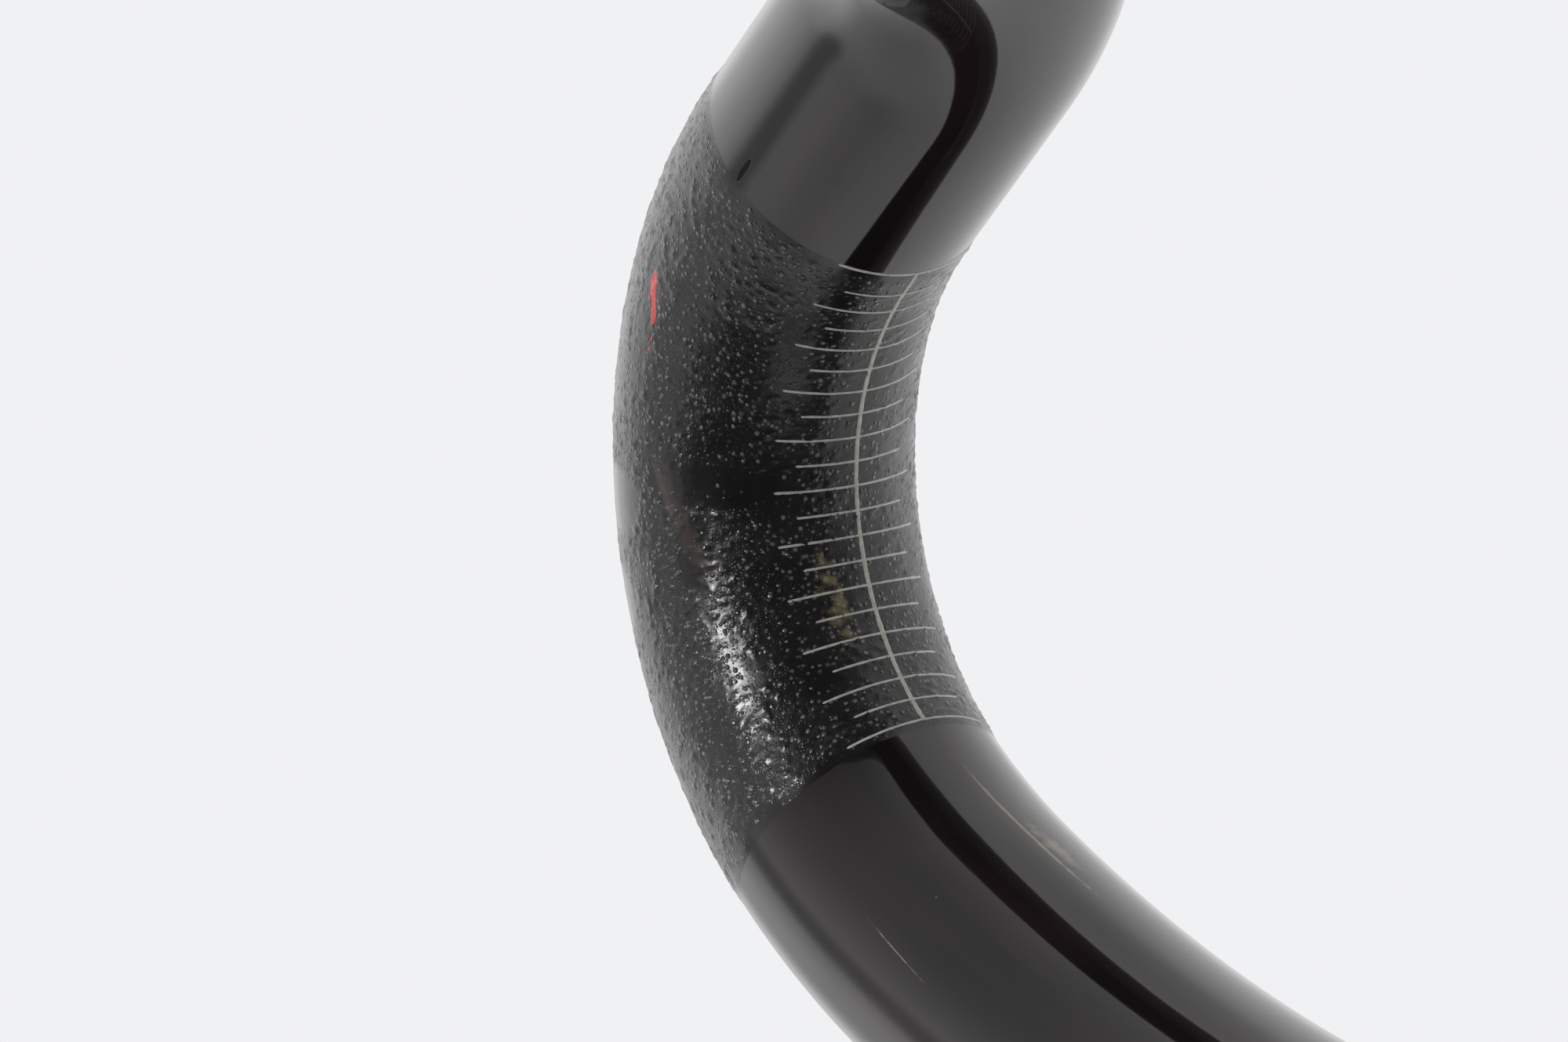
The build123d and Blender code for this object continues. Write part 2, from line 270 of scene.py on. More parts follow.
@dataclass(frozen=True)
class HalfBar:
    """Centre line of the right half, measured by the distance s from the lever scale's middle tick.

    Attributes:
        ramp_x: X of the ramp.
        joint_length: straight tube outside the joint with the tops.
        bend_radius: lateral bend from the tops to the ramp.
        ramp_angle: ramp below level, degrees.
        flare: lean of the drop's plane outwards about the ramp, degrees.
        scale_centre: distance from the start of the hook to the middle tick.
        stretches: ramp, hook, ease, sweep, heel and grip, in order.
    """

    ramp_x: float
    joint_length: float = 26.0 * MM
    bend_radius: float = 30.0 * MM
    ramp_angle: float = 10.0
    flare: float = 6.0
    scale_centre: float = 28.0 * MM
    stretches: tuple[Stretch, ...] = (
        Stretch(18.6 * MM),
        arc_stretch(35.1 * MM, 99.6),
        arc_stretch(58.9 * MM, 10.6),
        arc_stretch(150.0 * MM, 25.0),
        arc_stretch(90.0 * MM, 27.8),
        Stretch(52.0 * MM),
    )

    @property
    def ramp_start(self) -> float:
        """s where the lateral bend meets the ramp."""
        return -self.scale_centre - self.stretches[0].length

    @property
    def bend_start(self) -> float:
        """s where the tops meet the lateral bend."""
        return self.ramp_start - self.bend_radius * math.pi / 2

    @property
    def start(self) -> float:
        """s of the joint with the tops."""
        return self.bend_start - self.joint_length

    @property
    def end(self) -> float:
        """s of the bar end."""
        return self.ramp_start + sum(part.length for part in self.stretches)

    @property
    def joint_x(self) -> float:
        """X of the joint with the tops."""
        return self.ramp_x - self.bend_radius - self.joint_length

    @property
    def ramp(self) -> Array:
        """Travel direction on the ramp."""
        angle = math.radians(self.ramp_angle)
        return np.array([0.0, math.cos(angle), -math.sin(angle)])

    @property
    def down(self) -> Array:
        """Direction square to the ramp in the drop's plane: (sin f, -sin a cos f, -cos a cos f)."""
        angle, lean = math.radians(self.ramp_angle), math.radians(self.flare)
        return np.array([math.sin(lean), -math.sin(angle) * math.cos(lean), -math.cos(angle) * math.cos(lean)])

    def walk(self, s: Array) -> tuple[Array, Array, Array]:
        """Follows the centre line.

        With e the ramp's direction, d the direction square to it in the drop's plane and a the angle turned since
        the ramp, the travel direction is e cos a + d sin a and the inward normal is d cos a - e sin a. An arc of
        radius r from angle a to b moves r ((sin b - sin a) e + (cos a - cos b) d).

        Args:
            s: distances from the middle tick.

        Returns:
            Points, travel directions and inward normals, each (..., 3).
        """
        s = np.asarray(s, dtype=float)
        turned, flat = np.zeros(s.shape), np.zeros(s.shape + (2,))
        at, angle, here = self.ramp_start, 0.0, np.zeros(2)
        for part in self.stretches:
            length = np.clip(s - at, 0.0, None)
            bend = angle + (length / part.radius if part.radius else 0.0 * length)
            inside = s >= at
            turned = np.where(inside, bend, turned)
            flat = np.where(inside[..., None], here + self.leap(angle, bend, length, part.radius), flat)
            end = np.array(angle + part.turn)
            here = here + self.leap(angle, end, np.array(part.length), part.radius)
            at, angle = at + part.length, float(end)
        cosine, sine = np.cos(turned)[..., None], np.sin(turned)[..., None]
        start = np.array([self.ramp_x, 0.0, 0.0]) + self.bend_radius * self.ramp
        points = start + flat[..., :1] * self.ramp + flat[..., 1:] * self.down
        forward = cosine * self.ramp + sine * self.down
        inward = cosine * self.down - sine * self.ramp
        return self.turn_to_tops(s, points, forward, inward)

    @staticmethod
    def leap(angle: float, bend: Array, length: Array, radius: float) -> Array:
        """Move along (e, d) while the direction turns from angle to bend, or straight on when radius is 0.

        Args:
            angle: angle turned at the start.
            bend: angle turned at the end.
            length: length of the move, used on a straight.
            radius: radius of the arc.

        Returns:
            (..., 2) moves.
        """
        if not radius:
            return np.stack([length * math.cos(angle), length * math.sin(angle)], axis=-1)
        return radius * np.stack([np.sin(bend) - math.sin(angle), math.cos(angle) - np.cos(bend)], axis=-1)

    def turn_to_tops(self, s: Array, points: Array, forward: Array, inward: Array) -> tuple[Array, Array, Array]:
        """Fills in the lateral bend and the straight tube next to the tops.

        The bend runs from +X to the ramp in their common plane. Its inward normal is d with its part along the
        travel direction taken out, so that it meets the ramp's without a jump.

        Args:
            s: distances from the middle tick.
            points: points beyond the bend, kept there.
            forward: their travel directions.
            inward: their inward normals.

        Returns:
            Points, travel directions and inward normals of the whole half.
        """
        right = np.array([1.0, 0.0, 0.0])
        turn = np.clip((s - self.bend_start) / self.bend_radius, 0.0, math.pi / 2)[..., None]
        straight = np.clip(self.bend_start - s, 0.0, None)[..., None]
        spot = (self.ramp_x - self.bend_radius - straight) * right
        spot = spot + self.bend_radius * (np.sin(turn) * right + (1 - np.cos(turn)) * self.ramp)
        travel = np.cos(turn) * right + np.sin(turn) * self.ramp
        square = self.down - (travel @ self.down)[..., None] * travel
        square /= np.linalg.norm(square, axis=-1, keepdims=True)
        before = (s < self.ramp_start)[..., None]
        pairs = (spot, points), (travel, forward), (square, inward)
        return tuple(np.where(before, bend, drop) for bend, drop in pairs)

    def tube(self, s: Array, around: Array, radius: Array | float) -> Array:
        """Points on a tube: p(s) + r (n cos a + w sin a), with w = travel x inward, towards the bike's middle.

        Args:
            s: distances along the centre line, one per row.
            around: angles from the inside of the hook, one per column.
            radius: radius, a number or one per point.

        Returns:
            (rows, columns, 3) points.
        """
        points, forward, inward = self.walk(s)
        across = np.cross(forward, inward)
        radius = np.broadcast_to(radius, (len(s), len(around)))[..., None]
        spoke = inward[:, None] * np.cos(around)[None, :, None] + across[:, None] * np.sin(around)[None, :, None]
        return points[:, None] + radius * spoke

    def place(self, s: Array, around: Array, radius: Array) -> Array:
        """Points on a tube at single places, by the same formula.

        Args:
            s: distances along the centre line, any shape.
            around: angles of the same shape.
            radius: radii of the same shape.

        Returns:
            (..., 3) points.
        """
        points, forward, inward = self.walk(s)
        across = np.cross(forward, inward)
        spoke = inward * np.cos(around)[..., None] + across * np.sin(around)[..., None]
        return points + radius[..., None] * spoke


# Shader building


class Graph:
    """Adds nodes to a node tree; an input may be a value or another node's output."""

    def __init__(self, tree: bpy.types.NodeTree) -> None:
        """Wraps a node tree."""
        self.tree = tree
        self.count = 0

    def add(self, kind: str, inputs: dict[Any, Any] | None = None, **settings: Any) -> Node:
        """Adds a node in the next place of an eight-column layout.

        Args:
            kind: node type without the ShaderNode prefix.
            inputs: socket name or number to value or output socket.
            settings: properties of the node.

        Returns:
            The new node.
        """
        node = self.tree.nodes.new("ShaderNode" + kind)
        node.location = (220 * (self.count % 8), -260 * (self.count // 8))
        self.count += 1
        for key, value in settings.items():
            setattr(node, key, value)
        for key, value in (inputs or {}).items():
            self.put(node.inputs[key], value)
        return node

    def put(self, socket: Socket, value: Any) -> None:
        """Links or sets one input; a colour gets its alpha.

        Args:
            socket: the input.
            value: another node's output, a number, a vector or a colour.
        """
        if isinstance(value, Socket):
            self.tree.links.new(value, socket)
        elif isinstance(value, tuple) and len(value) == 3 and socket.type == "RGBA":
            socket.default_value = (*value, 1.0)
        else:
            socket.default_value = value

    def feed(self, node: Node, **values: Any) -> Node:
        """Links or sets inputs by name, with underscores for spaces.

        Args:
            node: the node.
            values: input name to value or output socket.

        Returns:
            The same node.
        """
        for key, value in values.items():
            self.put(node.inputs[key.replace("_", " ")], value)
        return node

    def math(self, operation: str, *values: Any) -> Socket:
        """Math node's output."""
        return self.add("Math", dict(enumerate(values)), operation=operation).outputs[0]

    def times(self, first: Any, second: Any) -> Socket:
        """Product of two values."""
        return self.math("MULTIPLY", first, second)

    def plus(self, first: Any, second: Any) -> Socket:
        """Sum of two values."""
        return self.math("ADD", first, second)

    def minus(self, first: Any, second: Any) -> Socket:
        """First value less the second."""
        return self.math("SUBTRACT", first, second)

    def vector(self, operation: str, *values: Any) -> Node:
        """Vector math node."""
        return self.add("VectorMath", dict(enumerate(values)), operation=operation)

    def turned(self, vector: Any, angle: Any) -> Socket:
        """Vector turned about Z by an angle in radians."""
        return self.add("VectorRotate", {"Vector": vector, "Angle": angle}, rotation_type="Z_AXIS").outputs[0]

    def stretched(self, vector: Any, factors: Colour) -> Socket:
        """Vector times a factor for each axis."""
        return self.vector("MULTIPLY", vector, factors).outputs[0]

    def step(self, value: Any, low: Any, high: Any) -> Socket:
        """Smooth step of a value from 0 at low to 1 at high."""
        return self.add("MapRange", {0: value, 1: low, 2: high}, interpolation_type="SMOOTHSTEP").outputs[0]

    def scale(self, value: Any, low: Any, high: Any) -> Socket:
        """Maps 0 to 1 on to low to high."""
        return self.add("MapRange", {0: value, 3: low, 4: high}).outputs[0]

    def mix(self, factor: Any, first: Any, second: Any) -> Socket:
        """Colour mix: the first at factor 0, the second at 1."""
        node = self.feed(self.add("Mix", {6: first, 7: second}, data_type="RGBA"), Factor=factor)
        return node.outputs[2]

    def noise(self, vector: Any, scale: float, detail: float = 3.0) -> Socket:
        """Noise value from 0 to 1 at a scale in cycles per metre."""
        return self.add("TexNoise", {"Vector": vector, "Scale": scale, "Detail": detail}).outputs[0]

    def cells(self, vector: Any, scale: Any) -> tuple[Socket, Any]:
        """Voronoi cells: the distance from a cell's point, and three chances that each cell keeps."""
        node = self.add("TexVoronoi", {"Vector": vector, "Scale": scale, "Randomness": 1.0})
        return node.outputs["Distance"], self.add("SeparateColor", {0: node.outputs["Color"]}).outputs

    def bump(self, height: Any, depth: float, strength: float = 1.0) -> Socket:
        """Normal of a relief of the given depth in metres."""
        return self.add("Bump", {"Height": height, "Strength": strength, "Distance": depth}).outputs[0]

    def place(self) -> Socket:
        """Object coordinates."""
        return self.add("TexCoord").outputs["Object"]

    def surface(self) -> Socket:
        """The piece's own surface coordinates: metres along the bar and round it."""
        return self.add("UVMap", uv_map=UV_NAME).outputs[0]


def use_group(graph: Graph, tree: bpy.types.NodeTree, **values: Any) -> Node:
    """Places a group in a graph; underscores in argument names stand for spaces."""
    return graph.feed(graph.add("Group", node_tree=tree), **values)


def make_group(name: str, inputs: dict[str, Any], outputs: Sequence[str],
               fill: Callable[[Graph, Any], dict[str, Any]]) -> bpy.types.NodeTree:
    """Makes a shader node group once.

    Args:
        name: group name.
        inputs: input name to default; a tuple makes a vector input.
        outputs: names of the outputs, which are all values.
        fill: gets the graph and the input node's outputs, and returns each output's source.

    Returns:
        The node group.
    """
    if name in bpy.data.node_groups:
        return bpy.data.node_groups[name]
    tree = bpy.data.node_groups.new(name, "ShaderNodeTree")
    for key, value in inputs.items():
        kind = "NodeSocketVector" if isinstance(value, tuple) else "NodeSocketFloat"
        tree.interface.new_socket(key, in_out="INPUT", socket_type=kind).default_value = value
    for key in outputs:
        tree.interface.new_socket(key, in_out="OUTPUT", socket_type="NodeSocketFloat")
    source, sink = tree.nodes.new("NodeGroupInput"), tree.nodes.new("NodeGroupOutput")
    for key, value in fill(Graph(tree), source.outputs).items():
        tree.links.new(value, sink.inputs[key])
    return tree


def mark_group() -> bpy.types.NodeTree:
    """A soft-edged oval spot on the surface, for scuffs, residue and paint."""
    unevenness = 900.0

    def fill(g: Graph, given: Any) -> dict[str, Any]:
        """Step of the distance from the centre in half sizes, made uneven by noise."""
        offset = g.vector("SUBTRACT", given["Vector"], given["Centre"]).outputs[0]
        sized = g.vector("DIVIDE", g.turned(offset, given["Turn"]), given["Half Size"]).outputs[0]
        reach = g.vector("LENGTH", g.stretched(sized, (1, 1, 0))).outputs["Value"]
        ragged = g.times(g.minus(g.noise(given["Vector"], unevenness), 0.5), given["Ragged"])
        return {"Mask": g.step(g.plus(reach, ragged), 1.0, given["Core"])}

    defaults = {"Vector": (0, 0, 0), "Centre": (0, 0, 0), "Half Size": (1, 1, 1), "Turn": 0.0,
                "Ragged": 0.6, "Core": 0.4}
    return make_group("surface_mark", defaults, ["Mask"], fill)


def grain_group() -> bpy.types.NodeTree:
    """Grit: rounded particles, one to a cell, some cells empty; height, and a mask of the particle tops where
    painted glints go.
    """
    edge, sizes, top, glint_brightness = 0.25, (0.28, 0.62), (0.05, 0.65), (0.25, 1.0)

    def fill(g: Graph, given: Any) -> dict[str, Any]:
        """Dome of a chance size round each cell's point, where the cell's chance is over 1 - cover."""
        vector = g.add("VectorMath", {0: given["Vector"], 3: given["Scale"]}, operation="SCALE").outputs[0]
        distance, chance = g.cells(vector, 1.0)
        there = g.step(chance[0], g.minus(1.0, given["Cover"]), g.minus(1.0 + edge, given["Cover"]))
        height = g.times(g.step(distance, g.scale(chance[1], *sizes), 0.0), there)
        # Top: mask of each particle's top, at a random strength, where the pale colour of a painted glint is laid.
        return {"Height": height, "Top": g.times(g.step(height, *top), g.scale(chance[2], *glint_brightness))}

    return make_group("grain", {"Vector": (0, 0, 0), "Scale": 2500.0, "Cover": 0.8}, ["Height", "Top"], fill)


def hairline_group() -> bpy.types.NodeTree:
    """Fine handling scratches: thin bands of a stretched noise in two directions, in patches."""
    runs = ((0.3, (60, 2400, 900)), (-0.9, (90, 2000, 700)))
    patches = 70.0

    def fill(g: Graph, given: Any) -> dict[str, Any]:
        """Bands where the noise is within a width of its middle."""
        lines = []
        for turn, stretch in runs:
            value = g.noise(g.stretched(g.turned(given["Vector"], turn), stretch), 1.0, 1.0)
            ridge = g.math("ABSOLUTE", g.minus(value, 0.5))
            patch = g.step(g.noise(given["Vector"], patches), 0.5, 0.75)
            lines.append(g.times(g.step(ridge, given["Width"], 0.0), patch))
        return {"Mask": g.math("MAXIMUM", *lines)}

    return make_group("hairlines", {"Vector": (0, 0, 0), "Width": 0.006}, ["Mask"], fill)


def dust_group() -> bpy.types.NodeTree:
    """Sparse tiny specks of dust."""

    def fill(g: Graph, given: Any) -> dict[str, Any]:
        """Dot of a chance size in the few cells whose chance is over the rarity."""
        distance, chance = g.cells(given["Vector"], given["Scale"])
        speck = g.step(distance, g.scale(chance[1], 0.02, given["Size"]), 0.0)
        return {"Mask": g.times(speck, g.step(chance[0], given["Rarity"], 1.0))}

    return make_group("dust", {"Vector": (0, 0, 0), "Scale": 260.0, "Size": 0.06, "Rarity": 0.8}, ["Mask"], fill)


@dataclass(frozen=True)
class Mark:
    """A spot at a place on the drop.

    Attributes:
        s_mm: distance from the middle tick along the centre line.
        angle: degrees round the tube from the inside of the hook.
        half_mm: half length along the bar and half width round it.
        turn: degrees in the surface.
        ragged: how uneven the edge is.
        core: share of the half size where it is full.
    """

    s_mm: float
    angle: float
    half_mm: tuple[float, float]
    turn: float = 0.0
    ragged: float = 0.6
    core: float = 0.4

    def mask(self, graph: Graph, vector: Socket, strength: float = 1.0) -> Socket:
        """Mask of the spot in a material.

        Args:
            graph: the material's graph.
            vector: surface coordinates.
            strength: the mask's value where the spot is full.

        Returns:
            The mask.
        """
        centre = (self.s_mm * MM, math.radians(self.angle) * TUBE_RADIUS, 0.0)
        half = (self.half_mm[0] * MM, self.half_mm[1] * MM, 1.0)
        spot = use_group(graph, mark_group(), Vector=vector, Centre=centre, Half_Size=half,
                         Turn=math.radians(self.turn), Ragged=self.ragged, Core=self.core).outputs["Mask"]
        return spot if strength == 1.0 else graph.times(spot, strength)


# Finishes


def tinted(colour: Colour, *factors: float) -> Colour:
    """Colour times one factor, or one for each channel."""
    return tuple(c * f for c, f in zip(colour, factors * 3))


@dataclass(frozen=True)
class Finish:
    """A material; subclasses fill in the nodes.

    Attributes:
        name: material name.
        slot: the record's material slot; not used.
        colour: base colour, linear.
        rough: roughness.
    """

    name: str
    slot: str
    colour: Colour
    rough: float

    def material(self) -> bpy.types.Material:
        """Builds the material once.

        Returns:
            The material.
        """
        if self.name in bpy.data.materials:
            return bpy.data.materials[self.name]
        material = bpy.data.materials.new(self.name)
        material.use_nodes = True
        material.node_tree.nodes.clear()
        graph = Graph(material.node_tree)
        shader = graph.feed(graph.add("BsdfPrincipled"), Base_Color=self.colour, Roughness=self.rough)
        graph.add("OutputMaterial", {0: shader.outputs[0]})
        self.dress(graph, shader)
        return material

    def dress(self, graph: Graph, shader: Node) -> None:
        """Adds the finish's own nodes."""

    def apply(self, piece: Piece) -> None:
        """Gives a piece this finish alone."""
        piece.data.materials.clear()
        piece.data.materials.append(self.material())


@dataclass(frozen=True)
class CarbonGloss(Finish):
    """Carbon laminate under a thick clear coat: near black, mirror gloss, faint orange peel, dust and hairlines.

    Attributes:
        scratches: pale scratches.
        flecks: small red paint flecks.
        nicks: narrow dull gaps in the clear coat.
        warmth: factors from the darker plies' colour to the paler ones'.
        dust: colour of the dust.
        scratch: colour of the scratches.
        fleck: colour of the paint flecks.
        gap: colour in the nicks.
        peel: depth of the coat's waviness.
    """

    scratches: tuple[Mark, ...] = ()
    flecks: tuple[Mark, ...] = ()
    nicks: tuple[Mark, ...] = ()
    warmth: Colour = (2.1, 1.55, 1.5)
    dust: Colour = (0.30, 0.28, 0.25)
    scratch: Colour = (0.36, 0.33, 0.24)
    fleck: Colour = (0.30, 0.008, 0.008)
    gap: Colour = (0.002, 0.002, 0.002)
    peel: float = 0.02 * MM

    def dress(self, graph: Graph, shader: Node) -> None:
        """Ply mottling, coat waviness, dust, hairlines and the bar's own marks.

        Args:
            graph: the material's graph.
            shader: its shader.
        """
        surface, place = graph.surface(), graph.place()
        plies = graph.noise(graph.stretched(surface, (40.0, 260.0, 1.0)), 1.0, 4.0)
        colour = graph.mix(graph.step(plies, 0.35, 0.7), self.colour, tinted(self.colour, *self.warmth))
        specks = use_group(graph, dust_group(), Vector=place).outputs["Mask"]
        colour = graph.mix(graph.times(specks, 0.6), colour, self.dust)
        hairs = use_group(graph, hairline_group(), Vector=surface).outputs["Mask"]
        rough = graph.scale(graph.noise(place, 90.0), 0.02, 0.07)
        rough = graph.plus(rough, graph.times(hairs, 0.10))
        for mark in self.scratches:
            mask = mark.mask(graph, surface, 0.55)
            colour = graph.mix(mask, colour, self.scratch)
            rough = graph.plus(rough, graph.times(mask, 0.5))
        for mark in self.flecks:
            colour = graph.mix(mark.mask(graph, surface), colour, self.fleck)
        sunk: Any = 0.0
        for mark in self.nicks:
            mask = mark.mask(graph, surface)
            colour, rough = graph.mix(mask, colour, self.gap), graph.plus(rough, mask)
            sunk = graph.minus(sunk, graph.times(mask, 1.5))
        wave = graph.plus(graph.noise(place, 260.0, 2.0), sunk)
        graph.feed(shader, Base_Color=colour, Roughness=rough, Normal=graph.bump(wave, self.peel, 0.35), IOR=1.5)


@dataclass(frozen=True)
class GritCoat(Finish):
    """Clear coat full of hard grit; the mesh carries the coarse relief and says where the grit is worn.

    Attributes:
        rubs: brownish rubbed streaks.
        residues: yellowish residue.
        dabs: red paint dabs.
        coarse: coarse particles per metre.
        fine: fine particles per metre.
        tip: colour of the painted glints laid on the particle tops.
        rub: colour of the rubs.
        residue: colour of the residue.
        paint: colour of the paint.
        depth: depth of the particles.
    """

    rubs: tuple[Mark, ...] = ()
    residues: tuple[Mark, ...] = ()
    dabs: tuple[Mark, ...] = ()
    coarse: float = 2150.0
    fine: float = 5200.0
    # Pale colour of the painted glints on the particle tops.
    tip: Colour = (0.24, 0.24, 0.25)
    rub: Colour = (0.055, 0.042, 0.036)
    residue: Colour = (0.23, 0.20, 0.10)
    paint: Colour = (0.62, 0.010, 0.012)
    depth: float = 0.07 * MM

    def dress(self, graph: Graph, shader: Node) -> None:
        """Particles as bump with painted glints on their tops, fewer where the attribute is low, with rubs, residue
        and paint.

        Args:
            graph: the material's graph.
            shader: its shader.
        """
        surface, place = graph.surface(), graph.place()
        cover = graph.add("Attribute", attribute_name=WEAR_NAME).outputs["Fac"]
        coarse, fine = (use_group(graph, grain_group(), Vector=place, Scale=scale, Cover=graph.times(cover, share))
                        for scale, share in ((self.coarse, 0.95), (self.fine, 0.7)))
        mottle = graph.step(graph.noise(place, 220.0, 4.0), 0.35, 0.7)
        colour = graph.mix(mottle, self.colour, tinted(self.colour, 2.0))
        # Painted glints: the particle tops are painted pale in place of the sparkle of the clear coat over the
        # grit.
        colour = graph.mix(graph.times(coarse.outputs["Top"], 0.55), colour, self.tip)
        rough = graph.scale(graph.noise(place, 600.0), self.rough - 0.06, self.rough + 0.08)
        rough = graph.scale(graph.math("SQRT", cover), 0.10, rough)
        for marks, strength, paint in ((self.rubs, 0.7, self.rub), (self.residues, 0.75, self.residue),
                                       (self.dabs, 1.0, self.paint)):
            for mark in marks:
                colour = graph.mix(mark.mask(graph, surface, strength), colour, paint)
        relief = graph.plus(coarse.outputs["Height"], graph.times(fine.outputs["Height"], 0.35))
        relief = graph.plus(relief, graph.times(graph.noise(place, 700.0), graph.times(cover, 0.5)))
        graph.feed(shader, Base_Color=colour, Roughness=rough, Normal=graph.bump(relief, self.depth),
                   Specular_IOR_Level=0.45)


@dataclass(frozen=True)
class PrintInk(Finish):
    """Pale printed lines, a little uneven."""

    def dress(self, graph: Graph, shader: Node) -> None:
        """Slight tone and gloss changes.

        Args:
            graph: the material's graph.
            shader: its shader.
        """
        tone = graph.noise(graph.place(), 1500.0)
        colour = graph.mix(graph.step(tone, 0.35, 0.6), tinted(self.colour, 0.78), self.colour)
        graph.feed(shader, Base_Color=colour, Roughness=graph.scale(tone, self.rough - 0.1, self.rough + 0.1))


@dataclass(frozen=True)
class MouldedPlastic(Finish):
    """Moulded plastic or rubber with a fine sparked texture.

    Attributes:
        texture: cells per metre of the texture.
        depth: depth of the texture.
    """

    texture: float = 3000.0
    depth: float = 0.03 * MM

    def dress(self, graph: Graph, shader: Node) -> None:
        """Texture as bump, with scuffed tone.

        Args:
            graph: the material's graph.
            shader: its shader.
        """
        place = graph.place()
        grain = use_group(graph, grain_group(), Vector=place, Scale=self.texture, Cover=0.95)
        scuff = graph.step(graph.noise(place, 160.0, 5.0), 0.52, 0.7)
        paler = tuple(c + 0.01 for c in tinted(self.colour, 2.2))
        graph.feed(shader, Base_Color=graph.mix(scuff, self.colour, paler),
                   Roughness=graph.scale(scuff, self.rough, self.rough + 0.12),
                   Normal=graph.bump(grain.outputs["Height"], self.depth))


@dataclass(frozen=True)
class TurnedMetal(Finish):
    """Turned or plated metal with fine lathe lines about the plug's axis.

    Attributes:
        pitch: lathe lines per metre.
        depth: depth of the lines.
    """

    pitch: float = 9000.0
    depth: float = 0.008 * MM

    def dress(self, graph: Graph, shader: Node) -> None:
        """Streaky tone, roughness and very shallow lines.

        Args:
            graph: the material's graph.
            shader: its shader.
        """
        place = graph.place()
        streak = graph.noise(graph.stretched(place, (0.15, 1.0, 0.3)), self.pitch / 3, 3.0)
        blotch = graph.step(graph.noise(place, 400.0, 4.0), 0.4, 0.7)
        graph.feed(shader, Base_Color=graph.mix(blotch, self.colour, tinted(self.colour, 0.6)),
                   Roughness=graph.scale(streak, self.rough - 0.08, self.rough + 0.15), Metallic=1.0,
                   Normal=graph.bump(streak, self.depth, 0.4))


@dataclass(frozen=True)
class RawLaminate(Finish):
    """Bare carbon inside the bar: twill of tows seen faintly."""

    def dress(self, graph: Graph, shader: Node) -> None:
        """Checked weave as tone and gloss.

        Args:
            graph: the material's graph.
            shader: its shader.
        """
        place = graph.place()
        check = graph.add("TexChecker", {"Vector": place, "Scale": 500.0}).outputs["Fac"]
        fibre = graph.noise(graph.stretched(place, (1.0, 12.0, 12.0)), 900.0)
        weave = graph.times(graph.plus(check, fibre), 0.5)
        graph.feed(shader, Base_Color=graph.mix(weave, self.colour, tinted(self.colour, 2.4)),
                   Roughness=graph.scale(weave, self.rough - 0.1, self.rough + 0.1))


GLOSS_BLACK = (0.0068, 0.0058, 0.0066)
GRIT_BLACK = (0.0068, 0.0060, 0.0068)

PLAIN_GLOSS = CarbonGloss("carbon_under_clear_coat", "carbon_gloss", GLOSS_BLACK, 0.04)
USED_GLOSS = CarbonGloss(
    "carbon_under_scratched_clear_coat", "carbon_gloss", GLOSS_BLACK, 0.04,
    scratches=(
        Mark(47.0, -3.5, (11.5, 0.22), turn=0.5, ragged=0.9),
        Mark(49.5, -9.0, (4.5, 0.9), turn=4.0, ragged=1.6, core=0.0),
        Mark(49.0, 69.5, (5.0, 0.09), turn=-4.0, ragged=1.4, core=0.0),
    ),
    flecks=(Mark(35.5, -57.0, (0.8, 0.4)), Mark(38.0, -60.0, (0.3, 0.25))),
    nicks=(Mark(-31.6, 84.0, (1.6, 0.3), ragged=0.7, core=0.85),),
)
PLAIN_GRIT = GritCoat("grit_in_clear_coat", "grit_coat", GRIT_BLACK, 0.27)
USED_GRIT = GritCoat(
    "rubbed_grit_in_clear_coat", "grit_coat", GRIT_BLACK, 0.27,
    rubs=(Mark(3.5, 70.0, (6.5, 1.1), turn=22.0, ragged=1.2), Mark(-0.5, 80.0, (3.0, 0.5), turn=22.0)),
    residues=(Mark(10.0, 18.0, (3.0, 0.9), ragged=3.4, core=-0.4),
              Mark(14.6, 15.0, (4.0, 1.2), ragged=3.4, core=-0.4)),
    dabs=(Mark(-15.9, 98.6, (1.3, 0.5), turn=16.0, ragged=0.7, core=0.8),
          Mark(-14.3, 94.8, (1.3, 0.38), turn=20.0, ragged=0.7, core=0.8),
          Mark(-12.0, 92.5, (0.25, 0.15)), Mark(-11.1, 92.3, (0.3, 0.12))),
)
SCALE_INK = PrintInk("scale_print", "scale_ink", (0.44, 0.43, 0.39), 0.5)
RAW_CARBON = RawLaminate("bare_laminate", "carbon_raw", (0.02, 0.02, 0.021), 0.45)
CAP_PLASTIC = MouldedPlastic("cap_plastic", "cap_black", (0.016, 0.016, 0.017), 0.42)
PLUG_RUBBER = MouldedPlastic("expander_rubber_skin", "expander_rubber", (0.014, 0.014, 0.014), 0.62,
                             texture=1800.0, depth=0.04 * MM)
ZINC = TurnedMetal("zinc_plate", "zinc_steel", (0.52, 0.52, 0.50), 0.30)
NUT_ALLOY = TurnedMetal("turned_alloy", "nut_alloy", (0.62, 0.62, 0.63), 0.28)
BLACK_OXIDE = TurnedMetal("black_oxide", "screw_steel", (0.05, 0.05, 0.055), 0.35)


def register(piece: Piece, body: str, finish: Finish, *nodes: str) -> Piece:
    """Dresses a piece, puts it on its body and hides the CAD nodes that it stands for.

    Args:
        piece: the finished object.
        body: CAD body that it moves with.
        finish: its finish.
        nodes: CAD nodes that it replaces.

    Returns:
        The same object.
    """
    finish.apply(piece)
    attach(piece, body)
    if nodes:
        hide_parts(*nodes)
    log.info("%s: %d faces on %s", piece.name, len(piece.data.polygons), body)
    return piece


# The bar


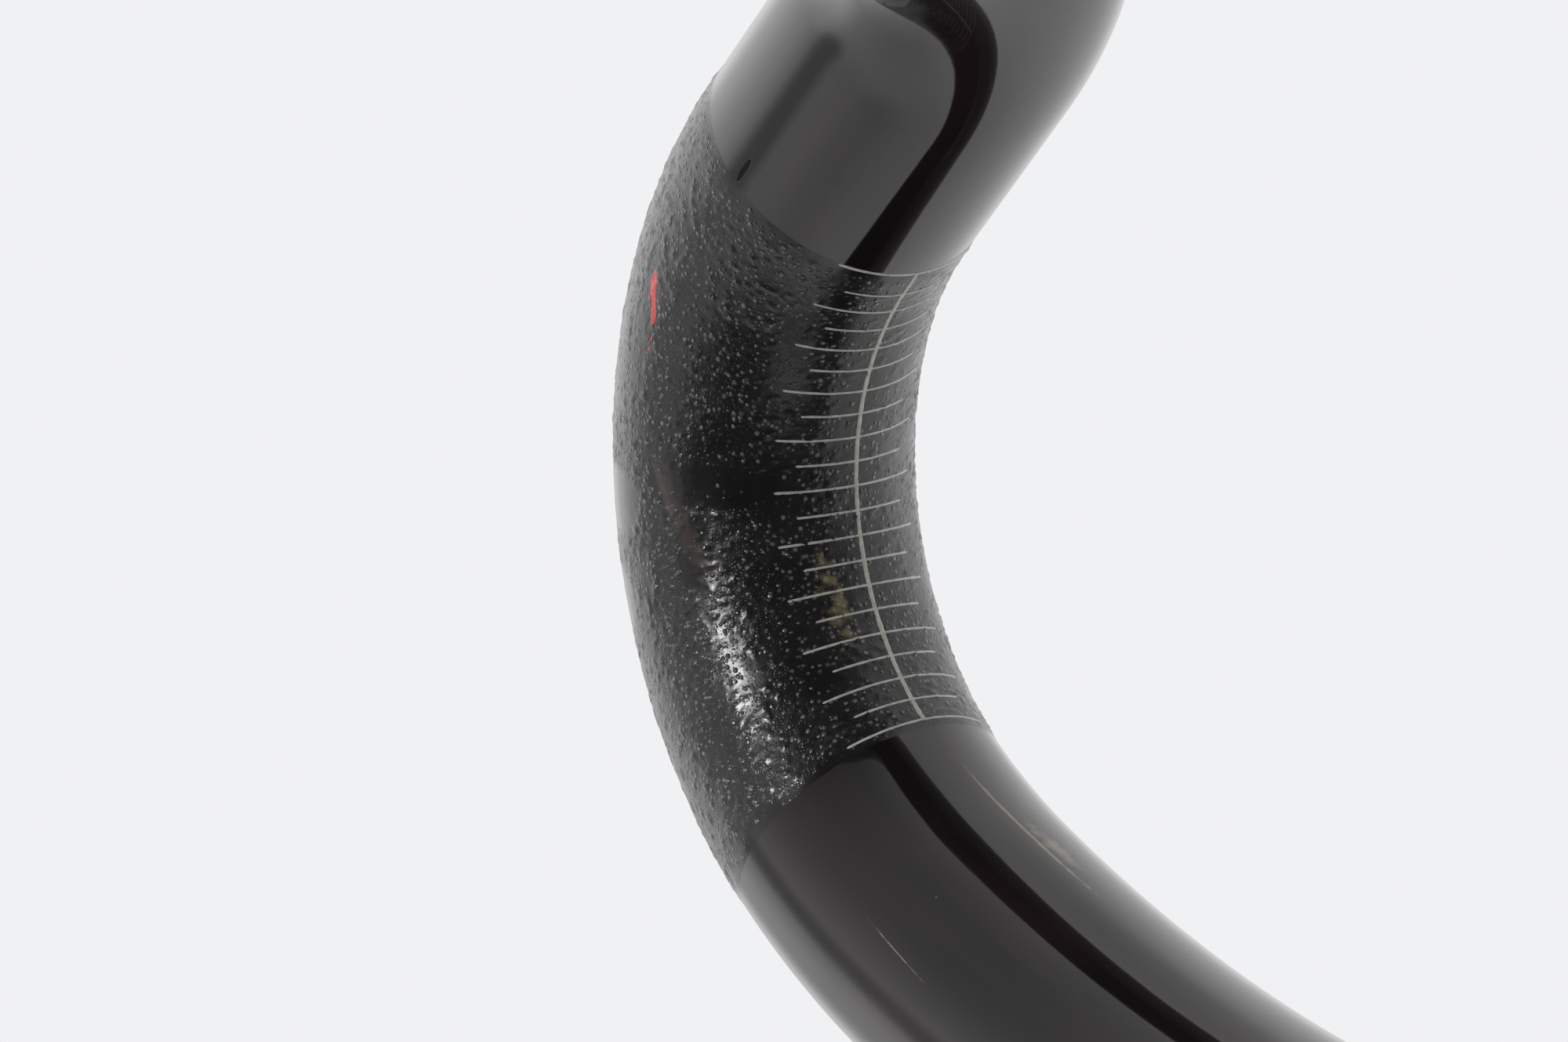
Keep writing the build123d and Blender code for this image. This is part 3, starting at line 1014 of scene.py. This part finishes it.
@dataclass
class Tops:
    """Moulded tops: clamp bulge, tapers and straight tube, with the stem's grit band and printed lines.

    Attributes:
        half_length: X of the joint with a drop.
        clamp_half: half the full-diameter length.
        taper: length of each taper.
        wall: wall thickness.
        grit_half: half the grit band's length.
        grit_relief: height of the stem grit's relief.
        grit_fade: length over which the relief fades at the band's ends.
        grit_cell: distance between the grit's stations.
        grit_around: points round the grit band.
        around: points round the tube.
        spacing: distance between stations outside.
        bore_stations: number of stations in the bore.
    """

    half_length: float
    clamp_half: float = 36.0 * MM
    taper: float = 52.0 * MM
    wall: float = 2.3 * MM
    grit_half: float = 23.0 * MM
    grit_relief: float = 0.09 * MM
    grit_fade: float = 0.5 * MM
    grit_cell: float = 0.33 * MM
    grit_around: int = 300
    around: int = 144
    spacing: float = 1.0 * MM
    bore_stations: int = 40

    def radius(self, x: Array) -> Array:
        """Outside radius: clamp radius, sunk a little under the grit, then a cubic step down to the tube.

        Args:
            x: stations.

        Returns:
            A radius for each station.
        """
        t = smooth(self.clamp_half, self.clamp_half + self.taper, np.abs(x))
        sunk = 1.3 * self.grit_relief * smooth(self.grit_half, self.grit_half - 1.0 * MM, np.abs(x))
        return CLAMP_RADIUS + (TUBE_RADIUS - CLAMP_RADIUS) * t - sunk

    def ring_grid(self, x: Array, radius: Array) -> Array:
        """Points about the X axis: (x, r sin a, r cos a).

        Args:
            x: stations.
            radius: a radius for each station or for each point.

        Returns:
            (stations, around, 3) points.
        """
        angle = ring_angles(self.around)
        radius = np.broadcast_to(radius.reshape(len(x), -1), (len(x), self.around))
        across = np.broadcast_to(x[:, None], radius.shape)
        return np.stack([across, radius * np.sin(angle), radius * np.cos(angle)], axis=-1)

    def body(self) -> Piece:
        """Closed shell: outside from left to right, then the bore back again.

        Returns:
            The shell.
        """
        out_x = np.linspace(-self.half_length, self.half_length, round(2 * self.half_length / self.spacing))
        in_x = np.linspace(self.half_length, -self.half_length, self.bore_stations)
        bore = np.where(np.abs(in_x) < self.clamp_half, CLAMP_RADIUS - self.wall, BORE_RADIUS)
        x = np.concatenate([out_x, in_x])
        points = self.ring_grid(x, np.concatenate([self.radius(out_x), bore]))
        uv = surface_grid(x, ring_angles(self.around) * TUBE_RADIUS)
        return Sheet(points, closed_rows=True, uv=uv).build("tops_shell")

    def grit(self) -> Piece:
        """Grit band: clamp radius less the relief that chance bumps leave, closed underneath.

        Returns:
            The band.
        """
        x = np.arange(-self.grit_half, self.grit_half, self.grit_cell)
        columns = self.grit_around
        wide = Tops(self.half_length, around=columns)
        bumps = particles((len(x), columns), 0.85, seed=11, spread=0.5, offset=0.35, top=1.6)
        edge = smooth(self.grit_half, self.grit_half - self.grit_fade, np.abs(x))[:, None]
        top = CLAMP_RADIUS - self.grit_relief * (1 - bumps * edge)
        under = np.full((1, columns), CLAMP_RADIUS - 3 * self.grit_relief)
        x_loop = np.concatenate([x[:1], x, x[-1:]])
        radius = np.concatenate([under, top, under])
        points = wide.ring_grid(x_loop, radius)
        uv = surface_grid(x_loop, ring_angles(columns) * CLAMP_RADIUS)
        wear = 0.75 + 0.2 * blurred_noise((len(x_loop), columns), 9.0, 12)
        return Sheet(points, closed_rows=True, uv=uv, wear=np.clip(wear, 0, 1)).build("stem_grit_band")

    def make(self) -> None:
        """Builds and dresses the tops."""
        register(self.body(), "bar", PLAIN_GLOSS, "centre_section")
        register(self.grit(), "bar", PLAIN_GRIT, "stem_clamp_grit")


@dataclass
class InkStroke:
    """A printed line on a tube: a flat rounded strand with closed ends.

    Attributes:
        place: maps (along, across, height) arrays to points.
        length: length of the line, from -length / 2 to length / 2.
        width: width of the line.
        height: thickness above the surface.
        depth: how far it reaches under the surface.
        seed: seed of the uneven edges.
        unevenness: how much the width wanders, as a share of it.
        cell: distance between stations, of which there are at least fewest.
        around: points round the strand.
    """

    place: Callable[[Array, Array, Array], Array]
    length: float
    width: float
    height: float = 0.035 * MM
    depth: float = 0.05 * MM
    seed: int = 1
    unevenness: float = 0.07
    cell: float = 0.16 * MM
    fewest: int = 24
    around: int = 10

    def sheet(self) -> Sheet:
        """Strand: a flattened loop section carried along the line and shrunk to a point at each end.

        Returns:
            The strand's grid.
        """
        count = max(self.fewest, round(self.length / self.cell))
        t = np.linspace(-1, 1, count)
        along = t * self.length / 2
        tip = np.clip((self.length / 2 - np.abs(along)) / (self.width / 2), 0, 1)
        taper = np.sqrt(1 - (1 - tip) ** 2)
        rng = np.random.default_rng(self.seed)
        wander = np.interp(t, np.linspace(-1, 1, count // 3), rng.standard_normal(count // 3))
        uneven = 1 + self.unevenness * wander
        angle = ring_angles(self.around)
        across = np.sin(angle)[None] * (self.width / 2) * (taper * uneven)[:, None]
        lift = np.where(np.cos(angle) > 0, self.height, self.depth) * np.cos(angle)
        lift = lift[None] * np.clip(taper * 2, 0, 1)[:, None]
        return Sheet(self.place(np.broadcast_to(along[:, None], across.shape), across, lift))


@dataclass
class Drop:
    """One drop: hollow tube from the joint with the tops to the bar end, with the lever's grit and scale.

    Attributes:
        line: centre line.
        side: half of the bar.
        around: points round the tube.
        spacing: distance between stations outside.
        bore_stations: number of stations in the bore.
        edge: rounding of the bar end.
    """

    line: HalfBar
    side: Side
    around: int = 160
    spacing: float = 0.9 * MM
    bore_stations: int = 90
    edge: float = 0.35 * MM

    def shell(self) -> Piece:
        """Closed shell: outside to the bar end, round the rim, and back through the bore.

        Returns:
            The shell.
        """
        start, end = self.line.start, self.line.end
        s_out = np.linspace(start, end - self.edge, round((end - start) / self.spacing))
        quarter = np.linspace(0, math.pi / 2, 4)
        s_rim = end - self.edge * (1 - np.sin(quarter))
        r_rim = TUBE_RADIUS - self.edge * (1 - np.cos(quarter))
        s_in = np.linspace(end, start, self.bore_stations)
        s = np.concatenate([s_out, s_rim, s_in])
        radius = np.concatenate([np.full(len(s_out), TUBE_RADIUS), r_rim, np.full(len(s_in), BORE_RADIUS)])
        angle = ring_angles(self.around)
        points = self.line.tube(s, angle, radius[:, None])
        uv = surface_grid(s, angle * TUBE_RADIUS)
        return Sheet(points, closed_rows=True, uv=uv).build(f"{self.side.word}_drop_shell", self.side)

    def make(self) -> None:
        """Builds and dresses the drop, its grit band and its scale."""
        worn = self.side is Side.RIGHT
        register(self.shell(), "bar", USED_GLOSS if worn else PLAIN_GLOSS, f"{self.side.word}_drop")
        band = LeverBand(self.line, self.side)
        register(band.coat(), "bar", USED_GRIT if worn else PLAIN_GRIT, f"{self.side.word}_lever_grit")
        register(band.scale(), "bar", SCALE_INK, f"{self.side.word}_lever_scale")


@dataclass(frozen=True)
class WornPatch:
    """Where fingers or a clamp have polished the grit.

    Attributes:
        s_mm: distance of its centre from the middle tick.
        angle: degrees of its centre round the tube.
        half_s_mm: half length along the bar.
        half_angle: half width in degrees.
        loss: share of the grit that is gone.
        edge: where it starts and where it is full, in half sizes.
    """

    s_mm: float
    angle: float
    half_s_mm: float
    half_angle: float
    loss: float
    edge: tuple[float, float] = (1.15, 0.7)

    def cover(self, s: Array, angle: Array) -> Array:
        """1 away from the patch, 1 - loss in it, with a soft ragged edge."""
        reach = np.hypot((s / MM - self.s_mm) / self.half_s_mm, (np.degrees(angle) - self.angle) / self.half_angle)
        return 1 - self.loss * smooth(*self.edge, reach)


@dataclass
class LeverBand:
    """The lever's clamp band: grit coat and printed scale.

    Attributes:
        line: centre line.
        side: half of the bar.
        before: coat before the middle tick.
        after: coat after the middle tick.
        base: thickness of the coat between particles.
        relief: height of the particles.
        cell: grid spacing of the coat.
        wander: unevenness of the band's ends.
        cover_fade, relief_fade, end_fade: lengths over which particles, their relief and the coat fade at the ends.
        dive, dive_length: how far the coat goes under the tube's surface at its ends, and over what length.
        under: depth of the coat's hidden side, which has under_rows stations.
        ticks: number of ticks.
        pitch: distance between ticks on the centre line.
        tick_width, line_width: widths of the ticks and of the line along the bar.
        long_tick, short_tick: lengths of the ticks, which take turns.
        patches: worn places.
        grid: stations, height and cover of the coat.
    """

    line: HalfBar
    side: Side
    before: float = 30.5 * MM
    after: float = 31.5 * MM
    base: float = 0.05 * MM
    relief: float = 0.10 * MM
    cell: float = 0.225 * MM
    wander: float = 0.25 * MM
    cover_fade: float = 2.2 * MM
    relief_fade: float = 1.2 * MM
    end_fade: float = 2.5 * MM
    dive: float = 0.012 * MM
    dive_length: float = 0.6 * MM
    under: float = 0.1 * MM
    under_rows: int = 24
    ticks: int = 21
    pitch: float = 3.0 * MM
    tick_width: float = 0.30 * MM
    line_width: float = 0.42 * MM
    long_tick: float = 14.0 * MM
    short_tick: float = 10.6 * MM
    patches: tuple[WornPatch, ...] = (
        WornPatch(1.8, 116.0, 2.6, 26.0, 0.95),
        WornPatch(-0.5, 58.0, 2.4, 30.0, 0.75),
        WornPatch(8.5, 122.0, 2.6, 16.0, 0.8),
        WornPatch(-19.0, 0.0, 15.0, 48.0, 0.4),
        WornPatch(8.0, 5.0, 24.0, 40.0, 0.2),
        WornPatch(6.0, 66.0, 4.5, 9.0, 0.7),
    )
    grid: tuple[Array, Array, Array] = field(init=False)

    def __post_init__(self) -> None:
        """Works out the coat's thickness and wear on its grid."""
        s = np.arange(-self.before, self.after, self.cell)
        columns = round(2 * math.pi * TUBE_RADIUS / self.cell)
        angle = ring_angles(columns)
        shape = (len(s), columns)
        cover = np.ones(shape)
        for patch in self.patches:
            cover = cover * patch.cover(s[:, None], angle[None])
        cover = np.clip(cover * (1 + 0.18 * blurred_noise(shape, 7.0, 21)), 0, 1)
        small = particles(shape, 0.75, seed=22, spread=0.6, offset=-0.12, top=1.2)
        large = particles(shape, 1.5, seed=23, spread=0.6, offset=-0.3, top=1.5)
        rise = np.clip(0.95 * small + 0.15 * large, 0, 1) * (0.12 + 0.88 * cover)
        drift = 0.07 * blurred_noise(shape, 14.0, 24)
        margin = np.minimum(s + self.before, self.after - s)[:, None]
        ragged = margin + self.wander * blurred_noise(shape, 3.0, 25)
        cover = cover * smooth(0, self.cover_fade, ragged)
        height = self.base + self.relief * np.clip(rise + drift, 0, 1) * smooth(0, self.relief_fade, ragged)
        height = height * smooth(0, self.end_fade, margin) - self.dive * smooth(self.dive_length, 0, margin)
        self.grid = (s, height, cover)

    def coat(self) -> Piece:
        """Grit coat: displaced outside, closed just under the tube's surface.

        Returns:
            The coat.
        """
        s, height, cover = self.grid
        columns = height.shape[1]
        angle = ring_angles(columns)
        s_back = np.linspace(s[-1], s[0], self.under_rows)
        s_loop = np.concatenate([s, s_back])
        under = np.full((len(s_back), columns), -self.under)
        radius = TUBE_RADIUS + np.concatenate([height, under])
        points = self.line.tube(s_loop, angle, radius)
        uv = surface_grid(s_loop, angle * TUBE_RADIUS)
        wear = np.concatenate([cover, np.ones(under.shape)])
        return Sheet(points, closed_rows=True, uv=uv, wear=wear).build(f"{self.side.word}_grit_band", self.side)

    def thickness(self, s: Array, angle: Array) -> Array:
        """Coat thickness at any place, from the nearest grid point of a slightly smoothed coat.

        Args:
            s: distances from the middle tick.
            angle: angles round the tube, of the same shape.

        Returns:
            Thicknesses of the same shape.
        """
        stations, height, _ = self.grid
        row = np.clip(np.rint((s - stations[0]) / self.cell), 0, len(stations) - 1).astype(int)
        column = np.rint((angle + math.pi) / (2 * math.pi) * height.shape[1]).astype(int) % height.shape[1]
        calm = sum(np.roll(height, (i, j), (0, 1)) for i in (-1, 0, 1) for j in (-1, 0, 1)) / 9
        return calm[row, column]

    def scale(self) -> Piece:
        """Centre line and ticks, laid on the coat.

        Returns:
            The printed scale.
        """

        def along_bar(along: Array, across: Array, lift: Array) -> Array:
            """Places the line along the bar."""
            angle = across / TUBE_RADIUS
            return self.line.place(along, angle, TUBE_RADIUS + self.thickness(along, angle) + lift)

        def round_bar(at: float) -> Callable[[Array, Array, Array], Array]:
            """Places a tick round the bar at a station."""
            def place(along: Array, across: Array, lift: Array) -> Array:
                """Along the tick is round the bar."""
                angle = along / TUBE_RADIUS
                return self.line.place(at + across, angle, TUBE_RADIUS + self.thickness(at + across, angle) + lift)
            return place

        reach = self.pitch * (self.ticks - 1)
        strokes = [InkStroke(along_bar, reach + self.tick_width, self.line_width, seed=40)]
        for k in range(self.ticks):
            length = self.short_tick if k % 2 else self.long_tick
            strokes.append(InkStroke(round_bar(k * self.pitch - reach / 2), length, self.tick_width, seed=50 + k))
        parts = [stroke.sheet().build(f"ink_{i}", self.side) for i, stroke in enumerate(strokes)]
        return join(f"{self.side.word}_printed_scale", parts)


# Bar-end plugs


@dataclass
class EndPlug:
    """Expanding plug in a bar end: cap, washer, rubber sleeve, cone nut and screw.

    Heights are along the plug's axis from the bar's end face, outwards positive.

    Attributes:
        line: centre line.
        side: half of the bar.
        cap_radius: radius of the cap's head.
        cap_head: thickness of the head.
        spigot: length of the spigot.
        gap: spigot and sleeve to the bore.
        hole: radius of the screw hole.
        well: radius of the counterbore.
        seat: height of the screw head's seat.
        washer: washer thickness.
        head: screw head radius.
        sleeve: rubber sleeve length.
    """

    line: HalfBar
    side: Side
    cap_radius: float = 11.7 * MM
    cap_head: float = 3.2 * MM
    spigot: float = 8.0 * MM
    gap: float = 0.3 * MM
    hole: float = 2.56 * MM
    well: float = 4.6 * MM
    seat: float = -2.3 * MM
    washer: float = 0.6 * MM
    head: float = 4.25 * MM
    sleeve: float = 15.0 * MM

    def lathe(self, name: str, profile: Sequence[tuple[float, float]], bevel: float = 0.15 * MM) -> Piece:
        """Turns a closed profile about the plug's axis, its corners cut by two short chamfer lines.

        Args:
            name: object name.
            profile: (radius, height) corners in order.
            bevel: length cut from each side of a corner.

        Returns:
            The new object.
        """
        corners = np.array(profile)
        ahead = np.roll(corners, -1, axis=0) - corners
        reach = np.linalg.norm(ahead, axis=1)
        unit = ahead / reach[:, None]
        cut = np.minimum(bevel, 0.3 * reach)
        leave = corners + unit * cut[:, None]
        arrive = corners - np.roll(unit * cut[:, None], 1, axis=0)
        middle = 0.25 * (leave + arrive) + 0.5 * corners
        rounded = np.stack([arrive, middle, leave], axis=1).reshape(-1, 2)
        angle = ring_angles(ROUND)
        radius = np.broadcast_to(rounded[:, :1], (len(rounded), ROUND))
        points, forward, inward = (v[0] for v in self.line.walk(np.array([self.line.end])))
        across = np.cross(forward, inward)
        spoke = inward * np.cos(angle)[:, None] + across * np.sin(angle)[:, None]
        grid = points + forward * rounded[:, None, 1:] + radius[..., None] * spoke
        return Sheet(grid[::-1], closed_rows=True).build(f"{self.side.word}_{name}", self.side)

    def cap(self) -> Piece:
        """Cap: crowned head with a shallow ring groove, spigot with two rings, counterbore and screw hole.

        Returns:
            The cap.
        """
        outer = BORE_RADIUS - self.gap
        floor = self.seat - self.washer
        profile = [
            (self.hole, -self.spigot), (self.hole, floor), (self.well, floor),
            (self.well, self.cap_head - 0.2 * MM),
            (7.4 * MM, self.cap_head - 0.05 * MM), (7.7 * MM, self.cap_head - 0.35 * MM),
            (8.1 * MM, self.cap_head - 0.35 * MM), (8.4 * MM, self.cap_head - 0.12 * MM),
            (10.4 * MM, self.cap_head - 0.45 * MM), (11.2 * MM, self.cap_head - 1.0 * MM),
            (self.cap_radius, self.cap_head - 2.0 * MM), (self.cap_radius, 0.0), (outer, 0.0),
            (outer, -2.5 * MM), (outer - 0.4 * MM, -2.8 * MM), (outer - 0.4 * MM, -4.2 * MM),
            (outer, -4.5 * MM), (outer, -self.spigot),
        ]
        return self.lathe("end_cap", profile)

    def washer_ring(self) -> Piece:
        """Plain washer.

        Returns:
            The washer.
        """
        low, high = self.seat - self.washer, self.seat
        profile = [(self.hole, low), (self.hole, high), (self.head, high), (self.head, low)]
        return self.lathe("cap_washer", profile, 0.08 * MM)

    def rubber(self) -> Piece:
        """Rubber sleeve with shallow grip rings and a flared mouth for the cone.

        Returns:
            The sleeve.
        """
        outer = BORE_RADIUS - self.gap
        top, low = -self.spigot, -self.spigot - self.sleeve
        profile = [(6.9 * MM, low), (3.6 * MM, low + 6.5 * MM), (3.3 * MM, low + 6.6 * MM), (3.3 * MM, top),
                   (outer, top)]
        for k in range(6):
            ring = top - (1.6 + 2.2 * k) * MM
            profile += [(outer, ring), (outer - 0.45 * MM, ring - 0.35 * MM),
                        (outer - 0.45 * MM, ring - 0.75 * MM), (outer, ring - 1.1 * MM)]
        profile.append((outer, low))
        return self.lathe("rubber_sleeve", profile, 0.1 * MM)

    def nut(self) -> Piece:
        """Cone nut with a plain flange.

        Returns:
            The nut.
        """
        low = -self.spigot - self.sleeve
        top = low - 0.35 * MM
        profile = [(self.hole, top - 3 * MM), (self.hole, low + 6.15 * MM), (3.25 * MM, low + 6.15 * MM),
                   (6.55 * MM, top), (8.3 * MM, top), (8.3 * MM, top - 3 * MM)]
        return self.lathe("cone_nut", profile, 0.25 * MM)

    def make(self) -> None:
        """Builds and dresses the plug."""
        word = self.side.word
        register(self.cap(), f"{word}_plug", CAP_PLASTIC, f"{word}_plug_cap")
        register(self.washer_ring(), f"{word}_plug", ZINC, f"{word}_plug_washer")
        register(self.rubber(), f"{word}_plug", PLUG_RUBBER, f"{word}_expander_sleeve")
        register(self.nut(), f"{word}_nut", NUT_ALLOY, f"{word}_wedge_nut")


# Studio


def direction(azimuth: float, elevation: float) -> Colour:
    """Unit vector (sin az cos el, -cos az cos el, sin el), from angles in degrees."""
    az, el = math.radians(azimuth), math.radians(elevation)
    return (math.sin(az) * math.cos(el), -math.cos(az) * math.cos(el), math.sin(el))


@dataclass(frozen=True)
class Glow:
    """A round soft-edged part of the surroundings with its own radiance, light or dark.

    Attributes:
        azimuth: degrees, 0 towards the rear and 90 towards the rider's right.
        elevation: degrees above the horizon.
        inner: degrees from its middle where it is full.
        outer: degrees from its middle where it has gone.
        level: its radiance.
    """

    azimuth: float
    elevation: float
    inner: float
    outer: float
    level: float

    def mask(self, graph: Graph, look: Any) -> bpy.types.NodeSocket:
        """1 at the middle and 0 outside, by the angle arccos(look . direction).

        Args:
            graph: the world's graph.
            look: direction that is looked in.

        Returns:
            The mask.
        """
        facing = graph.vector("DOT_PRODUCT", look, direction(self.azimuth, self.elevation)).outputs["Value"]
        angle = graph.math("ARCCOSINE", graph.math("MINIMUM", facing, 1.0))
        return graph.step(angle, math.radians(self.outer), math.radians(self.inner))


@dataclass
class Studio:
    """Pale floor, soft light all round with a few panels, and the camera.

    Attributes:
        aim: point of the scale's middle tick.
        floor_z: height of the floor.
        floor_rings: radii of the floor's rings of points; the last strip lies back over the one before.
        floor_paint, floor_rough: colour and roughness of the floor.
        ambient: radiance of the room.
        light: colour of the room's light.
        backdrop: radiance that the camera sees.
        glows: lighter and darker parts of the room, each painted over the ones before.
        azimuth, elevation, roll: camera's place round the aim and its tilt, degrees.
        distance: camera to the aimed plane.
        shift: aim point to the right of and above the middle tick.
        lens, sensor: focal length and width of the sensor, in millimetres.
        nearest: nearest distance that the camera sees.
    """

    aim: Vector
    floor_z: float = -1.2
    floor_rings: Colour = (0.0001, 0.5, 0.35)
    floor_paint: Colour = (0.80, 0.80, 0.81)
    floor_rough: float = 0.7
    ambient: float = 1.2
    light: Colour = (1.0, 0.985, 0.985)
    backdrop: Colour = (0.875, 0.880, 0.895)
    glows: tuple[Glow, ...] = (
        Glow(90.0, 40.0, 8.0, 30.0, 1.35),
        Glow(90.0, 72.0, 5.0, 18.0, 0.95),
        Glow(135.0, -28.0, 8.0, 30.0, 1.22),
        Glow(-175.0, -15.0, 5.0, 32.0, 0.78),
        Glow(148.0, 17.0, 4.0, 22.0, 0.8),
        Glow(88.0, -8.0, 10.0, 30.0, 1.8),
        Glow(-176.0, 38.0, 10.0, 32.0, 1.6),
        Glow(-160.0, 24.0, 10.0, 25.0, 1.85),
        Glow(-138.0, 6.0, 3.0, 12.0, 0.6),
        Glow(-60.0, 20.0, 30.0, 75.0, 0.65),
        Glow(-80.0, -40.0, 24.0, 52.0, 0.09),
        Glow(-35.0, -19.0, 38.0, 78.0, 0.09),
        Glow(-82.0, 1.5, 2.0, 6.0, 120.0),
    )
    azimuth: float = -35.204
    elevation: float = -19.069
    roll: float = -17.077
    distance: float = 0.75988
    shift: tuple[float, float] = (1.5875 * MM, -4.597 * MM)
    lens: float = 219.79
    sensor: float = 36.0
    nearest: float = 0.05

    def camera(self) -> None:
        """Camera: stands in its direction from the aim and is rolled."""
        back = Vector(direction(self.azimuth, self.elevation))
        right = Vector((0, 0, 1)).cross(back).normalized()
        level = Matrix((right, back.cross(right), back)).transposed()
        turn = level @ Matrix.Rotation(math.radians(self.roll), 3, "Z")
        aim = self.aim + turn @ Vector((*self.shift, 0.0))
        data = bpy.data.cameras.new("camera")
        data.lens = self.lens
        data.sensor_width = self.sensor
        data.clip_start = self.nearest
        camera = bpy.data.objects.new("camera", data)
        camera.matrix_world = Matrix.Translation(aim + back * self.distance) @ turn.to_4x4()
        bpy.context.scene.collection.objects.link(camera)
        bpy.context.scene.camera = camera

    def floor(self) -> None:
        """Pale round floor, well below the bar."""
        angle = ring_angles(ROUND)
        rings = np.array(self.floor_rings)[:, None]
        grid = np.stack(np.broadcast_arrays(rings * np.cos(angle), rings * np.sin(angle), self.floor_z), axis=-1)
        piece = Sheet(grid).build("floor")
        material = bpy.data.materials.new("floor_paint")
        material.use_nodes = True
        shader = material.node_tree.nodes["Principled BSDF"]
        shader.inputs["Base Color"].default_value = (*self.floor_paint, 1.0)
        shader.inputs["Roughness"].default_value = self.floor_rough
        piece.data.materials.append(material)

    def room(self) -> None:
        """World: ambient radiance with the glows for light, and a plain pale backdrop for the camera."""
        world = bpy.data.worlds.new("studio")
        bpy.context.scene.world = world
        world.use_nodes = True
        world.node_tree.nodes.clear()
        graph = Graph(world.node_tree)
        look = graph.add("TexCoord").outputs["Generated"]
        total: Any = self.ambient
        for glow in self.glows:
            total = graph.scale(glow.mask(graph, look), total, glow.level)
        light = graph.add("Background", {0: self.light, 1: total})
        plain = graph.add("Background", {0: self.backdrop, 1: 1.0})
        seen = graph.add("LightPath").outputs["Is Camera Ray"]
        mix = graph.add("MixShader", {0: seen, 1: light.outputs[0], 2: plain.outputs[0]})
        graph.add("OutputWorld", {0: mix.outputs[0]})

    def make(self) -> None:
        """Sets up the studio."""
        self.camera()
        self.floor()
        self.room()
        bpy.context.scene.view_settings.view_transform = "Standard"


def dress_inner_nodes() -> None:
    """Finishes for the CAD nodes that keep their own shape."""
    finishes = {"clamp_insert": RAW_CARBON, "left_joint_sleeve": RAW_CARBON, "right_joint_sleeve": RAW_CARBON,
                "stem_scale": SCALE_INK, "left_plug_screw": BLACK_OXIDE, "right_plug_screw": BLACK_OXIDE}
    for node, finish in finishes.items():
        finish.apply(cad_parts[node])


def main() -> None:
    """Builds the bar, its plugs and the studio in order."""
    logging.basicConfig(level=logging.INFO, format="%(name)s: %(message)s")
    line = HalfBar(ramp_x=210.0 * MM)
    middle = Vector(line.walk(np.array([0.0]))[0][0])
    Studio(aim=middle).make()
    Tops(half_length=line.joint_x).make()
    for side in (Side.RIGHT, Side.LEFT):
        Drop(line, side).make()
        EndPlug(line, side).make()
    dress_inner_nodes()


if __name__ == "__main__":
    main()
